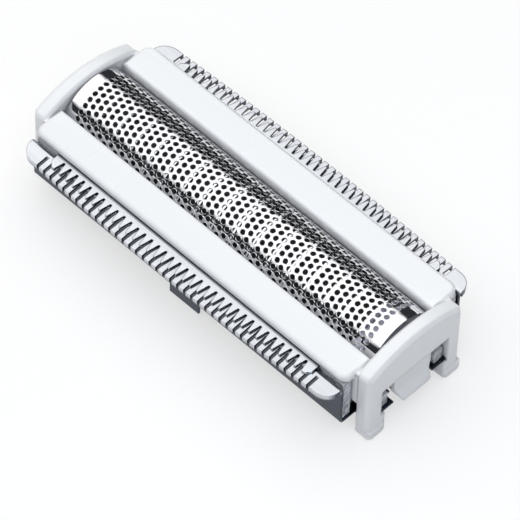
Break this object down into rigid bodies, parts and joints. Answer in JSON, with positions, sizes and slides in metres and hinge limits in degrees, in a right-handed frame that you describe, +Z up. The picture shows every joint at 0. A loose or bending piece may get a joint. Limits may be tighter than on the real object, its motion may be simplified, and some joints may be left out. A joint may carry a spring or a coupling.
{
  "type": "shaver head",
  "caption": "Foil shaver head: white frame with an arched perforated foil over a sliding cutter, and a toothed trimmer along each side, which snaps onto a handle.",
  "frame": {"origin": "middle of the head at the level of the feet", "axes": "+X along the head to its front end, +Y across it to the right trimmer, +Z up to the foil"},
  "size_m": [0.0542, 0.0242, 0.0127],
  "materials": {
    "white_plastic": "gloss",
    "foil_nickel": "mirror",
    "blade_steel": "ground",
    "sheet_steel": "bright rolled",
    "core_plastic": "matte",
    "cap_plastic": "matte",
    "clear_plastic": "clear"
  },
  "bodies": {
    "head": {"frame": "white_plastic", "foil": "foil_nickel", "trimmer_comb_left": "sheet_steel", "trimmer_comb_right": "sheet_steel"},
    "cutter": {"cutter_carrier": "core_plastic", "cutter_cap_front": "cap_plastic", "cutter_cap_rear": "cap_plastic", "cutter_blade_01": "blade_steel", "cutter_blade_02": "blade_steel", "cutter_blade_03": "blade_steel", "cutter_blade_04": "blade_steel", "cutter_blade_05": "blade_steel", "cutter_blade_06": "blade_steel", "cutter_blade_07": "blade_steel", "cutter_blade_08": "blade_steel", "cutter_blade_09": "blade_steel", "cutter_blade_10": "blade_steel", "cutter_blade_11": "blade_steel", "cutter_blade_12": "blade_steel", "cutter_blade_13": "blade_steel", "cutter_blade_14": "blade_steel", "cutter_blade_15": "blade_steel", "cutter_blade_16": "blade_steel", "cutter_blade_17": "blade_steel"},
    "trimmer_left": {"trimmer_blade_left": "sheet_steel", "trimmer_driver_left": "clear_plastic"},
    "trimmer_right": {"trimmer_blade_right": "sheet_steel", "trimmer_driver_right": "clear_plastic"}
  },
  "joints": [
    {"name": "cutter_slide", "type": "slide", "parent": "head", "child": "cutter", "axis": [1, 0, 0], "range_m": [0, 0.002]},
    {"name": "trimmer_left_slide", "type": "slide", "parent": "head", "child": "trimmer_left", "axis": [1, 0, 0], "range_m": [-0.0009, 0.0009]},
    {"name": "trimmer_right_slide", "type": "slide", "parent": "head", "child": "trimmer_right", "axis": [1, 0, 0], "range_m": [-0.0009, 0.0009]}
  ]
}
